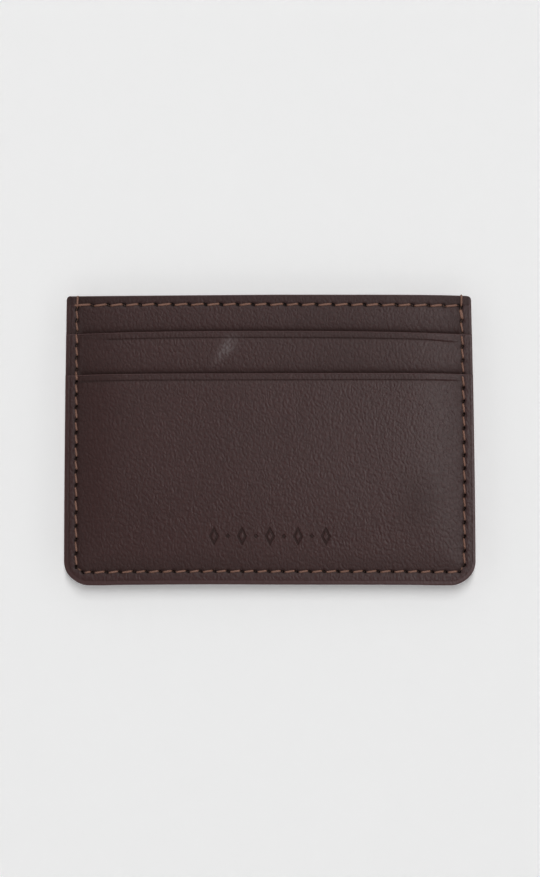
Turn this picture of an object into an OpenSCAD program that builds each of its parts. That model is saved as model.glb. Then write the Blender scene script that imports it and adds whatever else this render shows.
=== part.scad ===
// Minimalist card wallet. Two leather faces, each with two card slots, are sewn
// together along both sides and the bottom, and the space between them is an
// open centre pocket. The wallet lies flat with its front face up: +X runs
// across the width, +Y points to the open top edge and +Z is the thickness.
// The origin is the centre of the footprint, on the surface it lies on.

/* [Overall size] */
// Width across the bottom edge
body_w = 100; // [96:0.5:106]
// Width across the open top edge
top_w = 98.2; // [95:0.2:100]
// Height from the bottom edge to the open top edge
body_h = 70.4; // [69:0.2:78]
// Radius of the two bottom corners
bottom_r = 6; // [4:0.5:8]
// Radius of the two top corners
top_r = 1; // [0.6:0.1:2]

/* [Card slots] */
// Height of the standard card that each slot holds
card_h = 53.98; // [52:0.01:55]
// How far a card in the lower slot stands above its mouth
card_show = 5.6; // [5:0.1:7]
// Step in height from the lower slot to the upper slot
slot_step = 10.2; // [8:0.1:11]

/* [Layers] */
// Thickness of the full leather panel behind the slots
panel_t = 0.7; // [0.6:0.1:1.2]
// Thickness of the leather of the upper pocket
upper_t = 0.6; // [0.5:0.1:1]
// Thickness of the leather of the lower pocket
lower_t = 0.7; // [0.6:0.1:1.2]
// Thickness of the fabric lining in the centre pocket
lining_t = 0.2; // [0.15:0.05:0.3]
// Thickness of the paint on the cut edges
coat_t = 0.2; // [0.1:0.05:0.3]

/* [Stitching] */
// Distance of the side rows from the edge at the bottom
side_inset = 2.9; // [2.5:0.1:3.5]
// Distance of the side rows from the edge at the top
side_inset_top = 2.3; // [2:0.1:3]
// Distance of the bottom row from the bottom edge
bottom_inset = 3.05; // [2.5:0.05:3.5]
// Distance of the top row from the top edge
top_inset = 2.3; // [2:0.1:3]
// Stitches in the left side row
left_stitches = 20; // [16:1:24]
// Stitches in the right side row
right_stitches = 19; // [16:1:24]
// Stitches in the bottom row and in each hidden floor row
bottom_stitches = 28; // [22:1:34]
// Stitches in the top row, after the one that starts under the side row
top_stitches = 23; // [18:1:28]
// Diameter of the needle holes
hole_d = 0.8; // [0.7:0.05:1]
// Width of the thread where it lies on the leather
thread_w = 0.6; // [0.4:0.05:0.65]
// Height of the thread where it lies on the leather
thread_h = 0.3; // [0.2:0.05:0.35]

/* [Hidden] */

leather = "#46383a";
pocket_leather = "#4a3b3c";
lining_fabric = "#3a2f2d";
edge_paint = "#574344";
thread_tan = "#9b7566";

hole_fn = 24;
arc_steps = 16;
// Play that lets the cutters pass right through what they cut
through = 1;
// Thread inside a needle hole, and the channel that the thread lies in
pin_d = hole_d - 0.3;
channel_w = thread_w + 0.3;

// Heights are counted from the bottom edge until a node is placed.
lower_mouth = bottom_inset + card_h - card_show;
upper_mouth = lower_mouth + slot_step;
floor_row = bottom_inset + slot_step;
top_row = body_h - top_inset;

// Levels are counted from the middle plane, where the two linings meet.
panel_z = lining_t;
upper_z = panel_z + panel_t;
lower_z = upper_z + upper_t;
half_t = lower_z + lower_t;

// The seam's square corners are cut by one short slanting stitch.
corner_cut = 1.55;
side_low_x = body_w / 2 - side_inset;
side_top_x = top_w / 2 - side_inset_top;
side_first_y = bottom_inset + corner_cut;
side_last_y = body_h - 3.3;
bottom_end_x = side_low_x - corner_cut;
top_end_x = side_top_x - 0.9;
top_pitch = 2 * top_end_x / (top_stitches + 0.65);
top_first_x = top_end_x - top_stitches * top_pitch;
floor_end_x = bottom_end_x - 0.5;
mitre = tan(22.5);

function side_x(y) = side_low_x + (side_top_x - side_low_x) * y / body_h;
function between(a, b, n) = [for (i = [0 : n]) a + (b - a) * i / n];
function arc(x, y, r, from) =
    [for (i = [0 : arc_steps]) let (a = from + 90 * i / arc_steps) [x + r * cos(a), y + r * sin(a)]];
function reversed(list) = [for (i = [len(list) - 1 : -1 : 0]) list[i]];

// Outline of the whole wallet, drawn in by the paint thickness for a leather piece
function outline(inset) =
    let (low = body_w / 2 - inset, high = top_w / 2 - inset, r = bottom_r - inset, s = top_r - inset)
    concat(
        arc(-low + r, inset + r, r, 180), arc(low - r, inset + r, r, 270),
        arc(high - s, body_h - inset - s, s, 0), arc(-high + s, body_h - inset - s, s, 90)
    );

// The seam's line from top edge to top edge, moved outwards by d
function seam_line(d) = [
    [-side_x(body_h) - d, body_h], [-side_x(side_first_y) - d, side_first_y - d * mitre],
    [-bottom_end_x - d * mitre, bottom_inset - d], [bottom_end_x + d * mitre, bottom_inset - d],
    [side_x(side_first_y) + d, side_first_y - d * mitre], [side_x(body_h) + d, body_h]
];
function ribbon(w) = concat(seam_line(w / 2), reversed(seam_line(-w / 2)));

perimeter_holes = concat(
    [for (y = between(side_last_y, side_first_y, left_stitches)) [-side_x(y), y]],
    [for (x = between(-bottom_end_x, bottom_end_x, bottom_stitches)) [x, bottom_inset]],
    [for (y = between(side_first_y, side_last_y, right_stitches)) [side_x(y), y]]
);
top_holes = [for (x = between(top_first_x, top_end_x, top_stitches)) [x, top_row]];
floor_holes = [for (x = between(-floor_end_x, floor_end_x, bottom_stitches)) [x, floor_row]];

function face_z(y) = y < lower_mouth ? half_t : y < upper_mouth ? lower_z : upper_z;

// Puts a node that was drawn from the middle plane on the front or the back
module on_front() { translate([0, -body_h / 2, half_t]) children(); }
module on_back() { translate([0, -body_h / 2, half_t]) mirror([0, 0, 1]) children(); }

module between_heights(low, high) {
    translate([-body_w, low]) square([2 * body_w, high - low]);
}

module holes(points) {
    for (p = points) translate(p) circle(d = hole_d, $fn = hole_fn);
}

module pins(points, from) {
    for (p = points) translate([p[0], p[1], from])
        cylinder(d = pin_d, h = face_z(p[1]) - thread_h / 2 - from, $fn = hole_fn);
}

// Small notches in the top edge, where the side thread wraps over it
module wrap_notches() {
    for (s = [-1, 1]) translate([s * side_x(body_h) - channel_w / 2, body_h - thread_h])
        square([channel_w, 2 * thread_h]);
}

// Flat piece of leather or fabric from the bottom edge up to a given height
module sheet(z, t, high, points) {
    translate([0, 0, z]) linear_extrude(t) difference() {
        intersection() {
            polygon(outline(coat_t));
            between_heights(-through, high);
        }
        holes(points);
        wrap_notches();
    }
}

// Channel that the perimeter thread lies in, open to the face at height z
module seam_channel(z, low, high) {
    translate([0, 0, z - thread_h]) linear_extrude(thread_h + through) intersection() {
        polygon(ribbon(channel_w));
        between_heights(low, high);
    }
}

// Straight channel or thread along a row of holes
module row_strip(z, h, w, from_x, to_x, y) {
    translate([from_x - w / 2, y - w / 2, z]) cube([to_x - from_x + w, w, h]);
}

module lining() {
    color(lining_fabric) difference() {
        sheet(0, lining_t, body_h, concat(perimeter_holes, top_holes));
        row_strip(-through, lining_t + 2 * through, thread_w, top_first_x, top_end_x, top_row);
    }
}

module panel() {
    color(leather) difference() {
        sheet(panel_z, panel_t, body_h, concat(perimeter_holes, top_holes, floor_holes));
        seam_channel(upper_z, upper_mouth, body_h + through);
        row_strip(upper_z - thread_h, 2 * thread_h, channel_w, -side_top_x, top_end_x, top_row);
        row_strip(panel_z - thread_h, 2 * thread_h, channel_w, -floor_end_x, floor_end_x, floor_row);
    }
}

module upper_pocket() {
    color(leather) difference() {
        sheet(upper_z, upper_t, upper_mouth - coat_t, concat(perimeter_holes, floor_holes));
        seam_channel(lower_z, lower_mouth, upper_mouth);
        row_strip(lower_z - thread_h, 2 * thread_h, channel_w, -floor_end_x, floor_end_x, floor_row);
    }
}

module lower_pocket() {
    color(pocket_leather) difference() {
        sheet(lower_z, lower_t, lower_mouth - coat_t, perimeter_holes);
        seam_channel(half_t, 0, lower_mouth);
    }
}

// Paint on the mouth edge of a pocket, with the thread's channel across it
module mouth_coat(z, t, mouth) {
    color(edge_paint) difference() {
        translate([0, 0, z]) linear_extrude(t) intersection() {
            polygon(outline(coat_t));
            between_heights(mouth - coat_t, mouth);
        }
        seam_channel(z + t, mouth - through, mouth + through);
    }
}

module edge_ring() {
    difference() {
        polygon(outline(0));
        polygon(outline(coat_t));
    }
}

// Side view of the whole stack, stepped at each mouth
function step_profile() = [
    [-through, half_t], [lower_mouth, half_t], [lower_mouth, lower_z],
    [upper_mouth, lower_z], [upper_mouth, upper_z], [body_h + through, upper_z]
];
function flipped(list) = [for (p = list) [p[0], -p[1]]];

module along_width(points) {
    translate([-body_w, 0, 0]) rotate([90, 0, 90]) linear_extrude(2 * body_w) polygon(points);
}

module perimeter_edge_coat() {
    color(edge_paint) translate([0, -body_h / 2, half_t]) intersection() {
        translate([0, 0, -half_t]) linear_extrude(2 * half_t) intersection() {
            edge_ring();
            between_heights(-through, body_h - top_r);
        }
        along_width(concat(step_profile(), reversed(flipped(step_profile()))));
    }
}

module top_edge_coat() {
    color(edge_paint) linear_extrude(upper_z) difference() {
        intersection() {
            edge_ring();
            between_heights(body_h - top_r, body_h + through);
        }
        wrap_notches();
    }
}

// Side view of the thread, which steps down over each mouth
function thread_profile() = let (h = thread_h) concat(
    [[0, half_t], [lower_mouth + h, half_t], [lower_mouth + h, lower_z]],
    [[upper_mouth + h, lower_z], [upper_mouth + h, upper_z], [body_h, upper_z]],
    [[body_h, upper_z - h], [upper_mouth, upper_z - h], [upper_mouth, lower_z - h]],
    [[lower_mouth, lower_z - h], [lower_mouth, half_t - h], [0, half_t - h]]
);

// Thread of the perimeter seam on one face. It dives through every hole to the
// middle plane, where it locks with the other face's thread.
module perimeter_thread() {
    color(thread_tan) union() {
        intersection() {
            linear_extrude(half_t) polygon(ribbon(thread_w));
            along_width(thread_profile());
        }
        pins(perimeter_holes, 0);
        for (s = [-1, 1]) translate([s * side_x(body_h) - thread_w / 2, body_h - thread_h, 0])
            cube([thread_w, thread_h, upper_z - thread_h / 2]);
    }
}

module top_stitching() {
    start_x = -side_top_x + thread_w + 0.2;
    color(thread_tan) union() {
        row_strip(upper_z - thread_h, thread_h, thread_w, start_x, top_end_x, top_row);
        row_strip(0, lining_t, thread_w - 0.1, top_first_x, top_end_x, top_row);
        pins(top_holes, lining_t / 2);
    }
}

module pocket_floor_stitching() {
    color(thread_tan) union() {
        row_strip(lower_z - thread_h, thread_h, thread_w, -floor_end_x, floor_end_x, floor_row);
        row_strip(panel_z, thread_h, thread_w, -floor_end_x, floor_end_x, floor_row);
        for (p = floor_holes) translate([p[0], p[1], panel_z + thread_h / 2])
            cylinder(d = pin_d, h = panel_t + upper_t - thread_h, $fn = hole_fn);
    }
}

on_front() lining();  // front_lining
on_back() lining();  // back_lining
on_front() panel();  // front_panel
on_back() panel();  // back_panel
on_front() upper_pocket();  // front_upper_pocket
on_back() upper_pocket();  // back_upper_pocket
on_front() lower_pocket();  // front_lower_pocket
on_back() lower_pocket();  // back_lower_pocket
on_front() perimeter_thread();  // perimeter_needle_thread
on_back() perimeter_thread();  // perimeter_bobbin_thread
on_front() top_stitching();  // front_top_stitching
on_back() top_stitching();  // back_top_stitching
on_front() pocket_floor_stitching();  // front_pocket_floor_stitching
on_back() pocket_floor_stitching();  // back_pocket_floor_stitching
perimeter_edge_coat();
on_front() top_edge_coat();  // front_top_edge_coat
on_back() top_edge_coat();  // back_top_edge_coat
on_front() mouth_coat(upper_z, upper_t, upper_mouth);  // front_upper_mouth_coat
on_back() mouth_coat(upper_z, upper_t, upper_mouth);  // back_upper_mouth_coat
on_front() mouth_coat(lower_z, lower_t, lower_mouth);  // front_lower_mouth_coat
on_back() mouth_coat(lower_z, lower_t, lower_mouth);  // back_lower_mouth_coat
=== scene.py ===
"""Looks of a leather card wallet that lies flat, front face up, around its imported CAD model.

Every piece is worked out in a flat pattern: u runs across the width and h up from the bottom edge,
both in millimetres, and z is the distance from the middle plane between the two linings.
"""

import math

import bpy
import mathutils
import numpy as np
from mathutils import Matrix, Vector


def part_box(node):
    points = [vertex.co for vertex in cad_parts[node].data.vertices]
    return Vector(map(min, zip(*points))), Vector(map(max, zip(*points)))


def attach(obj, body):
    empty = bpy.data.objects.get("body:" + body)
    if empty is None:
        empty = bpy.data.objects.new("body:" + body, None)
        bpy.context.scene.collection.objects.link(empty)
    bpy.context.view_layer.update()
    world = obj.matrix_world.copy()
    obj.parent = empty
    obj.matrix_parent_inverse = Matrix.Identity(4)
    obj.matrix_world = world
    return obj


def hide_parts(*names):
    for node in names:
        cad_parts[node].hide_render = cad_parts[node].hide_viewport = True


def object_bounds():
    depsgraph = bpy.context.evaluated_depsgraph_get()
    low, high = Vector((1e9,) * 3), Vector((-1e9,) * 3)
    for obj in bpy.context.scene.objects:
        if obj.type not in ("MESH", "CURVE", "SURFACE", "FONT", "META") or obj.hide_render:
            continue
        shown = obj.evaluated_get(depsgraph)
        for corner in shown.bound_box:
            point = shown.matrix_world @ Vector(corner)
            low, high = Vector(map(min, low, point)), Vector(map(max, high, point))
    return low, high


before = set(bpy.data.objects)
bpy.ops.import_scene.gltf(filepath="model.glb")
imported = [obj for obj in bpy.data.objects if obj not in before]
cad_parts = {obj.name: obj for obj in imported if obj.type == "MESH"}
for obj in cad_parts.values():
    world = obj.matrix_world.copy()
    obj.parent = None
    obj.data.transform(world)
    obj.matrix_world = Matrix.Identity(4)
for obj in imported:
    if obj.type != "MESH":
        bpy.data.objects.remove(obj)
cad_low, cad_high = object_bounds()

# ---- sizes, from the frame

MM = 0.001
WIDTH = (cad_high.x - cad_low.x) / MM
HEIGHT = (cad_high.y - cad_low.y) / MM
MID_Z = (cad_high.z + cad_low.z) / 2 / MM
HALF = WIDTH / 2
LOW, HIGH = 0, 1
X, Y, Z = 0, 1, 2


def edge_of(node, axis, end):
    """One side of a CAD node's box, in millimetres."""
    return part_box(node)[end][axis] / MM


LINING_Z = edge_of("front_lining", Z, HIGH) - MID_Z
PANEL_Z = edge_of("front_panel", Z, HIGH) - MID_Z
UPPER_Z = edge_of("front_upper_pocket", Z, HIGH) - MID_Z
LOWER_Z = edge_of("front_lower_pocket", Z, HIGH) - MID_Z
UPPER_MOUTH = edge_of("front_upper_mouth_coat", Y, HIGH) + HEIGHT / 2
LOWER_MOUTH = edge_of("front_lower_mouth_coat", Y, HIGH) + HEIGHT / 2
THREAD_SHARE = 0.88  # the sewn thread's share of the CAD thread's width
THREAD_WIDTH = edge_of("front_top_stitching", Y, HIGH) - edge_of("front_top_stitching", Y, LOW)
THREAD_R = THREAD_WIDTH / 2 * THREAD_SHARE
TOP_ROW = edge_of("front_top_stitching", Y, HIGH) + HEIGHT / 2 - THREAD_R
FLOOR_ROW = edge_of("front_pocket_floor_stitching", Y, HIGH) + HEIGHT / 2 - THREAD_R
BOTTOM_ROW = edge_of("perimeter_needle_thread", Y, LOW) + HEIGHT / 2 + THREAD_R
SIDE_ROW = edge_of("perimeter_needle_thread", X, HIGH) - THREAD_R

# Radii of the outline's corners, and how much a short slanting stitch cuts off the seam's own
BOTTOM_R, TOP_R, CORNER_CUT = 6.0, 1.0, 1.6
# How far the leather stays inside the outline, and the radii of the paint on its edges
LEATHER_INSET, COAT_R, MOUTH_COAT_R = 0.12, 0.20, 0.18
LEFT_STITCHES, BOTTOM_STITCHES, RIGHT_STITCHES, TOP_STITCHES = 20, 28, 19, 23
# Half length, half width and slant of a needle hole, and how much larger the wide ones are
SLIT_LONG, SLIT_SHORT, SLIT_SLANT = 0.55, 0.31, math.radians(32)
WIDE_HOLE = 1.25
CREASE_FROM_MOUTH = 1.6
# Half of the gap between neighbouring sheets, and a sheet's least thickness
HALF_GAP, THINNEST = 0.01, 0.03
# Distances between mesh points: at sharp details, near them, on plain leather and where it is covered
FINEST, FINER, PLAIN, COVERED = 0.125, 0.25, 0.5, 2.0
STAMP_H, STAMP_STEP, STAMP_COUNT = 11.8, 3.4, 9
# Where the scuff lies and how it turns; its paler colour is also a painted sheen.
SCUFF_U, SCUFF_H, SCUFF_TURN = -11.6, 56.5, math.radians(51)
# Flat widths and lengths that the sheets are cut to
PANEL_CUT, UPPER_CUT, LOWER_CUT = (99.6, 70.0), (99.6, 61.2), (99.6, 51.0)

# ---- small mathematics


def smooth(t):
    """A smooth step from 0 at t = 0 to 1 at t = 1."""
    t = np.clip(t, 0, 1)
    return t * t * (3 - 2 * t)


def bump(distance, width):
    """1 at no distance, falling to almost nothing at about twice the width."""
    return np.exp(-((distance / width) ** 2))


def stroke(distance, strength, width):
    """That strength along a line, fading out beside it."""
    return strength * bump(distance, width)


def fade(distance, reach):
    """1 at no distance or less, falling to about a third at the reach."""
    return np.exp(-np.maximum(distance, 0) / reach)


def rounding(distance, width, depth):
    """How far a round rim has fallen away at that distance inside it."""
    return depth * (1 - np.sqrt(1 - np.clip(1 - distance / width, 0, 1) ** 2))


def noise(u, h, across, along, seed):
    """Smooth noise from -1 to 1, with lumps of about that size across and along, in millimetres."""
    cells, far = 256, 1000.0
    table = np.random.default_rng(seed).uniform(-1, 1, (cells, cells))
    a, b = u / across + far, h / along + far
    i, j = np.floor(a).astype(int), np.floor(b).astype(int)
    p, q = smooth(a - i), smooth(b - j)
    i0, j0, i1, j1 = i % cells, j % cells, (i + 1) % cells, (j + 1) % cells
    low = table[i0, j0] * (1 - p) + table[i1, j0] * p
    high = table[i0, j1] * (1 - p) + table[i1, j1] * p
    return low * (1 - q) + high * q


# ---- the flat pattern


def top_edge(u):
    """The open top edge bows up a little: it falls slowly to the left, and late to the right."""
    rise, left_fall, right_fall = 0.18, 0.39, 0.33
    crest, left_reach = 2, 52
    left, right = np.clip((crest - u) / left_reach, 0, 1), np.clip(u / HALF, 0, 1)
    return HEIGHT + rise - left_fall * left ** 1.1 - right_fall * right ** 7


def upper_mouth(u):
    """The upper slot's mouth sags towards the side seams."""
    rise, sag = 0.1, 0.75
    return UPPER_MOUTH + rise - sag * np.abs(u / SIDE_ROW) ** 2.5


def lower_mouth(u):
    """The lower slot's mouth rises a little to the right and sags only close to the side seams."""
    drop, slope, sag = 0.01, 0.003, 0.3
    return LOWER_MOUTH - drop + slope * u - sag * np.abs(u / SIDE_ROW) ** 6


def top_row(u):
    """The row of stitches along the top edge."""
    rise, sag, slope = 0.04, 0.35, 0.001
    return TOP_ROW + rise - sag * np.abs(u / HALF) ** 3 - slope * u


def side_row(u, h):
    """Where the side rows run: they lean outwards a little towards the top, and the right one is bowed."""
    lean, left_shift, right_shift, bow = 0.4, -0.09, 0.18, 0.19
    bow_middle, bow_reach = 32, 33
    bowed = right_shift - bow * ((h - bow_middle) / bow_reach) ** 2
    return SIDE_ROW + np.where(u < 0, left_shift, bowed) + lean * h / HEIGHT


def bottom_row(u):
    """The row of stitches along the bottom edge."""
    rise, slope = 0.21, 0.001
    return BOTTOM_ROW + rise + slope * u


def seam_distance(u, h):
    """Distance inside the perimeter seam; it is negative in the margin outside it."""
    side = side_row(u, h) - np.abs(u)
    bottom = h - bottom_row(u)
    return np.minimum(np.minimum(side, bottom), (side + bottom - CORNER_CUT) / math.sqrt(2))


def edge_distance(u, h):
    """Distance inside the outline of both sides and the bottom, with its round corners."""
    across, up = np.abs(u) - (HALF - BOTTOM_R), BOTTOM_R - h
    corner = BOTTOM_R - np.hypot(across, up)
    return np.where((across > 0) & (up > 0), corner, np.minimum(HALF - np.abs(u), h))


def uneven(first, last, count, seed, growth=0.0):
    """Needle holes along a row: count stitches of nearly one length, which may grow along the row."""
    steps = 0.05 * np.random.default_rng(seed).uniform(-1, 1, count)
    steps = 1 + steps + growth * np.linspace(-1, 1, count)
    return first + (last - first) * np.concatenate([[0], np.cumsum(steps)]) / steps.sum()


def seam_holes():
    """Needle holes of the perimeter seam: down the left side, along the bottom and up the right side."""
    below_top, corner_stitch = 3.3, 2.4
    left_end, right_corner, right_start, right_end = -0.15, 0.4, 0.2, 0.3
    first, last = BOTTOM_ROW + CORNER_CUT, HEIGHT - below_top
    down = uneven(last, first + left_end, LEFT_STITCHES, seed=3, growth=0.06)
    start = -float(side_row(-1, first)) + CORNER_CUT
    end = float(side_row(1, first)) - CORNER_CUT + right_corner
    across = [start, *uneven(start + corner_stitch, end, BOTTOM_STITCHES - 1, seed=4)]
    up = uneven(first + right_start, last + right_end, RIGHT_STITCHES, seed=5, growth=-0.04)
    rows = [(-float(side_row(-1, h)), h) for h in down]
    rows += [(u, float(bottom_row(u))) for u in across]
    rows += [(float(side_row(1, h)), h) for h in up]
    return np.array(rows)


def top_holes():
    """Needle holes of the row along the top edge, left to right, with one long stitch leading in."""
    lead_in, lead_rise = -SIDE_ROW - 1.5, 0.25
    first, last = -SIDE_ROW + 3.45, SIDE_ROW - 0.15
    row = [(u, float(top_row(u))) for u in uneven(first, last, TOP_STITCHES, seed=6)]
    return np.array([(lead_in, float(top_row(lead_in)) + lead_rise)] + row)


def floor_holes():
    """Needle holes of the hidden row that closes the bottom of the upper pocket."""
    beside_seam = 0.5
    ends = SIDE_ROW - CORNER_CUT - beside_seam
    return np.array([(u, FLOOR_ROW) for u in np.linspace(-ends, ends, BOTTOM_STITCHES + 1)])


SEAM_HOLES, TOP_HOLES, FLOOR_HOLES = seam_holes(), top_holes(), floor_holes()


def travels(holes):
    """Direction in which the seam travels at each hole."""
    ahead = np.diff(holes, axis=0)
    ahead = ahead / np.linalg.norm(ahead, axis=1)[:, None]
    both = np.concatenate([ahead[:1], ahead[1:] + ahead[:-1], ahead[-1:]])
    return both / np.linalg.norm(both, axis=1)[:, None]


def left_of(direction):
    """The direction turned a quarter turn anticlockwise."""
    return np.array([-direction[1], direction[0]])


def slits_of(holes, wide=()):
    """The needle cuts slanting slits: each is its centre, a unit vector along it and its two half widths."""
    rows = []
    for i, (hole, t) in enumerate(zip(holes, travels(holes))):
        along = t * math.cos(SLIT_SLANT) - left_of(t) * math.sin(SLIT_SLANT)
        grow = WIDE_HOLE if i in wide else 1.0
        rows.append((*hole, *along, SLIT_LONG * grow, SLIT_SHORT * grow))
    return np.array(rows)


SEAM_SLITS = slits_of(SEAM_HOLES, wide=(0, 1, len(SEAM_HOLES) - 2, len(SEAM_HOLES) - 1))
TOP_SLITS = slits_of(TOP_HOLES, wide=range(TOP_STITCHES + 2))[1:]
FLOOR_SLITS = slits_of(FLOOR_HOLES)
NO_SLITS = SEAM_SLITS[:0]


def slit_loop(slit, steps=12):
    """Points round the rim of a needle hole."""
    along = slit[2:4]
    across = left_of(along)
    turns = np.arange(steps) * 2 * math.pi / steps
    return [slit[:2] + along * slit[4] * math.cos(a) + across * slit[5] * math.sin(a) for a in turns]


def in_slit(points, slits, grow=1.0):
    """Which points lie inside a needle hole."""
    inside = np.zeros(len(points), bool)
    for slit in slits:
        d = points - slit[:2]
        a, b = d @ slit[2:4], d @ left_of(slit[2:4])
        inside |= (a / (slit[4] * grow)) ** 2 + (b / (slit[5] * grow)) ** 2 < 1
    return inside


def nearest_hole(u, h, slits):
    """Distance to the nearest needle hole, out to a few millimetres."""
    far, reach = 9.0, 2
    best = np.full(np.shape(u), far)
    for slit in slits:
        near = (np.abs(u - slit[0]) < reach) & (np.abs(h - slit[1]) < reach)
        best[near] = np.minimum(best[near], np.hypot(u[near] - slit[0], h[near] - slit[1]))
    return best


def stamp(u, h):
    """A row of stamped lozenges, tall and small in turn: 1 on their lines and 0 off them."""
    tall_width, tall_height, share, millimetres = 1.15, 2.2, 0.8, 1.02
    line, dot_size, blur = 0.26, 0.42, 0.16
    index = np.clip(np.round(u / STAMP_STEP), -(STAMP_COUNT // 2), STAMP_COUNT // 2)
    tall = index % 2 == 0
    across, up = np.abs(u - index * STAMP_STEP), np.abs(h - STAMP_H)
    outline = np.abs(across / tall_width + up / tall_height - share) * millimetres - line
    dot = (across + up) / math.sqrt(2) - dot_size
    return smooth(0.5 - np.where(tall, outline, dot) / blur)


def scuff(u, h):
    """A short slanting scuff on the front upper pocket, painted paler so that it also stands for a sheen: 1
    at its middle.
    """
    right, up = u - SCUFF_U, h - SCUFF_H
    along = right * math.cos(SCUFF_TURN) + up * math.sin(SCUFF_TURN)
    across = up * math.cos(SCUFF_TURN) - right * math.sin(SCUFF_TURN)
    middle, length, half_width, widening, low_end, high_end = 0.9, 3.3, 1.15, 0.16, -3, 4
    width = half_width + widening * np.clip(along, low_end, high_end)
    return bump(across, width) * bump(along - middle, length)


# ---- how the sewn stack lies


def squeeze(u, h):
    """Share of its thickness that the stack keeps: the seam pulls it in, and the margin puffs up again."""
    at_seam, further_in, raised, puff = 0.37, 0.27, 0.24, 0.012
    pull_reach, margin_width = 3.0, 3.0
    side_reach, left_more, right_more, bottom_reach = 5.5, 1.4, 2.5, 13
    more_from, more_over = 8, 30
    s = seam_distance(u, h)
    side = np.maximum(side_row(u, h) - np.abs(u), 0)
    bottom = np.maximum(h - bottom_row(u), 0)
    side_reach = side_reach + np.where(u < 0, left_more, right_more) * smooth((h - more_from) / more_over)
    crown = (1 - bump(side, side_reach)) * (1 - bump(bottom, bottom_reach))
    pulled = np.exp(-((np.maximum(s, 0) / pull_reach) ** 1.2))
    inside = further_in + (at_seam - further_in) * pulled - raised * crown
    margin = at_seam - puff * np.sin(math.pi * np.clip(-s / margin_width, 0, 1))
    return 1 - np.where(s > 0, inside, margin)


def centre_gap(u, h):
    """The two halves stand a little apart in the middle of the open top edge."""
    gap, depth = 0.16, 9
    open_share = np.clip(1 - (u / (SIDE_ROW - 1)) ** 2, 0, 1) ** 2
    return gap * open_share * np.exp(-(HEIGHT - h) / depth)


def inner_fade(u, h):
    """0 at the seam and 1 from a few millimetres inside it."""
    width = 1.6
    return smooth(seam_distance(u, h) / width)


def edge_crease(u, h):
    """Distance from the line creased along the edge, which runs a little nearer to the edge at the right."""
    inset, slope = 1.01, 0.0018
    return edge_distance(u, h) - (inset - slope * u)


def above_bottom(h):
    """0 along the bottom edge and 1 from a few millimetres above it."""
    start, length = 1, 6
    return smooth((h - start) / length)


def crease_depth(u, h):
    """How deep the edge crease is, from 0 to 1: deepest at the left and almost gone along the bottom."""
    at_bottom, at_left, at_right = 0.15, 1.0, 0.55
    return (at_bottom + (1 - at_bottom) * above_bottom(h)) * np.where(u < 0, at_left, at_right)


def right_end(u):
    """1 at the right ends of the mouths, where their crease turns into a soft fold, and 0 elsewhere."""
    start, length = 36, 6
    return smooth((u - start) / length)


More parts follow.
